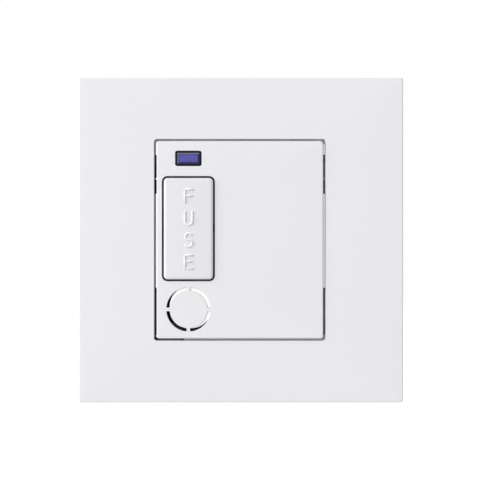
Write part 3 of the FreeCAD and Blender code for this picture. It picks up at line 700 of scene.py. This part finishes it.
def sweep_round(mesh, points, radius):
    """Adds a round solid drawn along the points."""
    rings = []
    side = Vector((1, 0, 0))
    for number, point in enumerate(points):
        ahead = points[min(number + 1, len(points) - 1)] - points[max(number - 1, 0)]
        ahead.normalize()
        side = (side - ahead * side.dot(ahead)).normalized()
        other = ahead.cross(side)
        ring = []
        for angle in angles_round(LEAD_STEPS):
            ring.append(mesh.verts.new(point + (side * math.cos(angle) + other * math.sin(angle)) * radius))
        rings.append(ring)
    close_tube(mesh, rings)


def mesh_from(shape, name):
    mesh = bpy.data.meshes.new(name)
    shape.to_mesh(mesh)
    shape.free()
    return mesh


def add_detail(node, shape, material, body):
    """Makes the finer piece that is shown in place of a CAD node."""
    bmesh.ops.recalc_face_normals(shape, faces=shape.faces)
    mesh = mesh_from(shape, node + "_detail")
    mesh.shade_smooth()
    mesh.set_sharp_from_angle(angle=DETAIL_ANGLE)
    mesh.materials.append(material)
    piece = add_object(node + "_detail", mesh)
    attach(piece, body)
    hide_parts(node)


# Screws with slotted heads

SLOT_WIDTH = 0.7 * MM
SLOT_DEPTH = 0.8 * MM
HEAD_ROUND_STEPS = 5

# Shares of the head's radius: its round edge, its dome and the length of the slot's cutter
HEAD_ROUND = 0.16
HEAD_DOME = 0.06
HEAD_CUTTER = 3

# A ring half way in on the dome: shares of the head's radius and of the dome's height
HEAD_CROWN = (0.5, 0.3)


def solids_of(node_name):
    """The low and high corner of each separate solid of a CAD node, in metres."""
    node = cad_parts[node_name]
    mesh = bmesh.new()
    mesh.from_mesh(node.data)
    mesh.transform(node.matrix_world)
    bmesh.ops.remove_doubles(mesh, verts=mesh.verts, dist=MERGE_DISTANCE)
    left = set(mesh.verts)
    boxes = []
    for first in mesh.verts:
        if first not in left:
            continue
        left.remove(first)
        group = [first]
        for vertex in group:
            for edge in vertex.link_edges:
                other = edge.other_vert(vertex)
                if other in left:
                    left.remove(other)
                    group.append(other)
        low = Vector(min(vertex.co[axis] for vertex in group) for axis in range(3))
        high = Vector(max(vertex.co[axis] for vertex in group) for axis in range(3))
        boxes.append((low, high))
    mesh.free()
    return boxes


def slot_cutter(length, top):
    cutter = bmesh.new()
    bmesh.ops.create_cube(cutter, size=1.0)
    bmesh.ops.scale(cutter, vec=(length, 2 * SLOT_DEPTH, SLOT_WIDTH), verts=cutter.verts)
    bmesh.ops.translate(cutter, vec=(0, top, 0), verts=cutter.verts)
    return add_object("slot_cutter", mesh_from(cutter, "slot_cutter"))


def slotted_head(r, seat, top):
    """A turned cheese head with a rounded edge, a slightly domed top and one screwdriver slot."""
    head = bmesh.new()
    edge_r = HEAD_ROUND * r
    dome = HEAD_DOME * r
    shoulder = top - dome
    profile = [(0, seat), (r, seat), (r, shoulder - edge_r)]
    for angle in quarter_turn(HEAD_ROUND_STEPS, first=1):
        profile.append((r - edge_r * (1 - math.cos(angle)), shoulder - edge_r * (1 - math.sin(angle))))
    profile += [(HEAD_CROWN[0] * r, top - HEAD_CROWN[1] * dome), (0, top)]
    turn(head, profile)
    bmesh.ops.recalc_face_normals(head, faces=head.faces)
    blank = add_object("screw_blank", mesh_from(head, "screw_head"))
    cutter = slot_cutter(HEAD_CUTTER * r, top)
    cut = blank.modifiers.new("slot", "BOOLEAN")
    cut.operation = "DIFFERENCE"
    cut.solver = "EXACT"
    cut.object = cutter
    bpy.context.view_layer.update()
    evaluated = blank.evaluated_get(bpy.context.evaluated_depsgraph_get())
    result = bpy.data.meshes.new_from_object(evaluated)
    for piece in (blank, cutter):
        old = piece.data
        bpy.data.objects.remove(piece)
        bpy.data.meshes.remove(old)
    return result


def add_screws(node_name, material, head, root, crest, pitch, threaded, slots):
    """One screw for each solid of a node; lengths in millimetres, the slots' angles in degrees."""
    root, crest = root * MM, crest * MM
    whole = bmesh.new()
    for number, (low, high) in enumerate(solids_of(node_name)):
        centre = (low + high) / 2
        seat = high.y - head * MM
        head_mesh = slotted_head((high.x - low.x) / 2, seat, high.y)
        screw = bmesh.new()
        screw.from_mesh(head_mesh)
        bpy.data.meshes.remove(head_mesh)
        end = min(seat, low.y + threaded * MM)
        thread(screw, root, crest, pitch * MM, low.y, end)
        if end < seat:
            turn(screw, [(0, end), (crest, end), (crest, seat), (0, seat)], THREAD_STEPS)
        turned = Matrix.Rotation(math.radians(slots[number % len(slots)]), 4, "Y")
        screw.transform(Matrix.Translation((centre.x, 0, centre.z)) @ turned)
        screw_mesh = mesh_from(screw, "screw")
        whole.from_mesh(screw_mesh)
        bpy.data.meshes.remove(screw_mesh)
    add_detail(node_name, whole, material, "base")


def add_all_screws(zinc):
    add_screws("terminal_screws", zinc, head=1.5, root=1.28, crest=1.5, pitch=0.6, threaded=20,
               slots=(65, -15, 90, 10, 115, 35))
    add_screws("joining_screws", zinc, head=1.2, root=0.8, crest=0.98, pitch=0.8, threaded=7,
               slots=(0, 35, 70))
    add_screws("cord_clamp_screws", zinc, head=1.5, root=1.0, crest=1.22, pitch=0.6, threaded=9,
               slots=(60, 130))


# The cartridge fuse

BARREL_CHAMFER = 0.2 * MM
CAP_PLAY = 0.04 * MM
CAP_FLOOR = 0.35 * MM
CAP_MOUTH = 0.05 * MM
CAP_ROUND = 0.45 * MM
CAP_ROUND_STEPS = 6
CAP_GROOVE = 0.06 * MM
CAP_GROOVE_PLACES = (0.9 * MM, 0.75 * MM, 0.6 * MM)
CAP_DISH = [(1.5 * MM, 0.0), (1.25 * MM, 0.12 * MM), (0, 0.16 * MM)]


def add_cap(node_name, end, axis, barrel_r, nickel):
    """A drawn cap with a rounded edge, a pressed-in groove and a dished end; end is 1 up, -1 down."""
    low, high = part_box(node_name)
    r = (high.x - low.x) / 2
    length = high.z - low.z
    groove = [CAP_ROUND + place for place in CAP_GROOVE_PLACES]
    profile = [(barrel_r + CAP_PLAY, CAP_FLOOR), (barrel_r + CAP_PLAY, length), (r - CAP_MOUTH, length),
               (r, length - CAP_MOUTH), (r, groove[0]), (r - CAP_GROOVE, groove[1]), (r, groove[2])]
    for angle in quarter_turn(CAP_ROUND_STEPS):
        profile.append((r - CAP_ROUND * (1 - math.cos(angle)), CAP_ROUND * (1 - math.sin(angle))))
    cap = bmesh.new()
    turn(cap, profile + CAP_DISH)
    turned = Matrix.Rotation(math.radians(-90 * end), 4, "X")
    tip = high.z if end > 0 else low.z
    cap.transform(Matrix.Translation((axis.x, axis.y, tip)) @ turned)
    add_detail(node_name, cap, nickel, "carrier")


def add_fuse(nickel, ceramic):
    """The glazed body, chamfered at both ends, and its two caps."""
    low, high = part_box("fuse_barrel")
    centre = (low + high) / 2
    r = (high.x - low.x) / 2
    half = (high.z - low.z) / 2
    barrel = bmesh.new()
    turn(barrel, mirrored([(0, half), (r - BARREL_CHAMFER, half), (r, half - BARREL_CHAMFER)]))
    upright = Matrix.Rotation(math.radians(90), 4, "X")
    barrel.transform(Matrix.Translation(centre) @ upright)
    add_detail("fuse_barrel", barrel, ceramic, "carrier")
    add_cap("fuse_cap_upper", 1, centre, r, nickel)
    add_cap("fuse_cap_lower", -1, centre, r, nickel)


# The indicator's lamp and resistor

LED_R = 1.5 * MM
LED_DOME_STEPS = 10
LED_RIM_R = 1.88 * MM
LED_FLANGE = 0.8 * MM
LED_CHAMFER = 0.08 * MM

# Half of the resistor's outline, from its end to its waist, as shares of its radius and half length
RESISTOR_HALF = ((0, 1), (0.45, 1), (0.85, 0.93), (1, 0.78), (1, 0.62), (0.84, 0.45))


def add_led(resin):
    """A round lamp: flange, body and dome."""
    low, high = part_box("indicator_led")
    centre = (low + high) / 2
    profile = [(0, low.y)]
    for angle in quarter_turn(LED_DOME_STEPS, first=1):
        profile.append((LED_R * math.sin(angle), low.y + LED_R * (1 - math.cos(angle))))
    flange = high.y - LED_FLANGE
    profile += [(LED_R, flange), (LED_RIM_R - LED_CHAMFER, flange), (LED_RIM_R, flange + LED_CHAMFER),
                (LED_RIM_R, high.y), (0, high.y)]
    lamp = bmesh.new()
    turn(lamp, profile)
    lamp.transform(Matrix.Translation((centre.x, 0, centre.z)))
    add_detail("indicator_led", lamp, resin, "base")


def add_resistor(lacquer):
    """An axial resistor with a waisted, lacquered body."""
    low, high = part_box("dropper_resistor")
    half = (high.x - low.x) / 2
    r = (high.y - low.y) / 2
    resistor = bmesh.new()
    turn(resistor, mirrored([(u * r, v * half) for u, v in RESISTOR_HALF]))
    lying = Matrix.Rotation(math.radians(-90), 4, "Z")
    resistor.transform(Matrix.Translation((low + high) / 2) @ lying)
    add_detail("dropper_resistor", resistor, lacquer, "base")


# The lamp's leads

LEAD_R = 0.5 * MM
LEAD_BEND = 1.2 * MM
BEND_STEPS = 6


def bent_line(corners):
    """A line through the corners, with a smooth bend in place of each inner one."""
    points = [corners[0]]
    for before, corner, after in zip(corners, corners[1:], corners[2:]):
        back = (before - corner).normalized() * min(LEAD_BEND, (before - corner).length / 2)
        ahead = (after - corner).normalized() * min(LEAD_BEND, (after - corner).length / 2)
        for step in range(BEND_STEPS + 1):
            part = step / BEND_STEPS
            points.append(corner + back * (1 - part) ** 2 + ahead * part ** 2)
    return points + [corners[-1]]


def lead_routes():
    """The corners of each lead's middle line, from the lamp's board to the clip and to the link."""
    board_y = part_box("lamp_board")[1].y
    low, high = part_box("lamp_lead_live")
    run_y = high.y - LEAD_R
    x = (low.x + high.x) / 2
    top, bottom = high.z - LEAD_R, low.z + LEAD_R
    live = [(x, board_y, top), (x, run_y, top), (x, run_y, bottom), (x, low.y, bottom)]
    low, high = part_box("lamp_lead_neutral")
    near, far = low.x + LEAD_R, high.x - LEAD_R
    top, bottom = high.z - LEAD_R, low.z + LEAD_R
    link_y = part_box("neutral_link")[0].y
    neutral = [(near, board_y, top), (near, run_y, top), (near, run_y, bottom), (far, run_y, bottom),
               (far, link_y, bottom)]
    return {"live": live, "neutral": neutral}


def add_leads(finishes):
    """The lamp's two insulated wires, smoothly bent along the way that their nodes take."""
    for end, corners in lead_routes().items():
        node_name = "lamp_lead_" + end
        lead = bmesh.new()
        sweep_round(lead, bent_line([Vector(corner) for corner in corners]), LEAD_R)
        add_detail(node_name, lead, finishes[node_name], "base")


# Raised letters on the fuse carrier; sizes in millimetres, but the bars as shares of a letter's box

LETTER_W = 2.15
ROUND_LETTER_W = 1.98
LETTER_H = 3.55
LETTER_LOW = 0.12
LETTER_PITCH = 5.78
LETTER_LEFT = -0.86
STROKE_R = 0.44
STROKE_STEEP = 1.15
STROKE_SUNK = 0.12
BAR_HEIGHT = 0.53
F_BAR = 0.86
E_BAR = 0.9
ARC_STEPS = 16


def arc_points(middle, radii, start, end):
    points = []
    for step in range(ARC_STEPS + 1):
        angle = math.radians(start + (end - start) * step / ARC_STEPS)
        points.append((middle[0] + radii[0] * math.cos(angle), middle[1] + radii[1] * math.sin(angle)))
    return points


def letter_strokes(letter):
    """Centre lines of a plain sans letter, in a box of width 1 and height 1 from its lower left."""
    upright = [(0, 0), (0, 1)]
    top = [(0, 1), (1, 1)]
    if letter == "F":
        return [upright, top, [(0, BAR_HEIGHT), (F_BAR, BAR_HEIGHT)]]
    if letter == "E":
        return [upright, top, [(0, BAR_HEIGHT), (E_BAR, BAR_HEIGHT)], [(0, 0), (1, 0)]]
    if letter == "U":
        return [[(0, 1)] + arc_points((0.5, 0.28), (0.5, 0.28), 180, 360) + [(1, 1)]]
    upper = arc_points((0.48, 0.755), (0.44, 0.245), 25, 270)
    lower = arc_points((0.48, 0.265), (0.52, 0.265), 90, -150)
    return [upper + lower[1:]]


def beyond(end, inner, reach):
    """The point this far past a line's end, straight on from its inner neighbour."""
    away = Vector((end[0] - inner[0], end[1] - inner[1])).normalized() * reach
    return end[0] + away.x, end[1] + away.y


def lengthened(points, reach):
    """The same line with a point more at each end, where its ridge runs down to nothing."""
    return [beyond(points[0], points[1], reach), *points, beyond(points[-1], points[-2], reach)]


def add_letter(letter, index, top_z, left_x, surface_y, material):
    """Each stroke is a four-sided ridge, half sunk into the carrier's face."""
    curve = bpy.data.curves.new("letter_" + letter, "CURVE")
    curve.dimensions = "3D"
    curve.bevel_depth = STROKE_R * MM
    curve.bevel_resolution = 0
    low_z = top_z - LETTER_H
    width = ROUND_LETTER_W if letter in "US" else LETTER_W
    for stroke in letter_strokes(letter):
        line = lengthened([(left_x + u * width, low_z + v * LETTER_H) for u, v in stroke], STROKE_R)
        spline = curve.splines.new("POLY")
        spline.points.add(len(line) - 1)
        for number, (point, (x, z)) in enumerate(zip(spline.points, line)):
            point.co = (x * MM, z * MM, 0.0, 1.0)
            point.radius = 0.0 if number in (0, len(line) - 1) else 1.0
    piece = add_object("letter_" + letter + str(index), curve)
    piece.location = (0, surface_y, 0)
    piece.rotation_euler = (math.radians(90), 0, 0)
    piece.scale = (1.0, 1.0, STROKE_STEEP)
    curve.materials.append(material)
    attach(piece, "carrier")


def add_letters(material):
    middle_x = (carrier_low.x + carrier_high.x) / 2 / MM
    middle_z = (carrier_low.z + carrier_high.z) / 2 / MM
    top = middle_z + 1.5 * LETTER_PITCH + LETTER_H / 2 - LETTER_LOW
    surface_y = carrier_low.y + STROKE_SUNK * MM
    for index, letter in enumerate("FUSE"):
        add_letter(letter, index, top - index * LETTER_PITCH, middle_x + LETTER_LEFT, surface_y, material)


def main():
    bpy.context.scene.view_settings.view_transform = "Standard"
    add_camera()
    add_world()
    add_softbox()
    add_floor()
    finishes = finish_nodes()
    smooth_nodes()
    add_all_screws(finishes["terminal_screws"])
    add_fuse(finishes["fuse_cap_upper"], finishes["fuse_barrel"])
    add_led(finishes["indicator_led"])
    add_resistor(finishes["dropper_resistor"])
    add_leads(finishes)
    add_letters(lettering_material())


main()
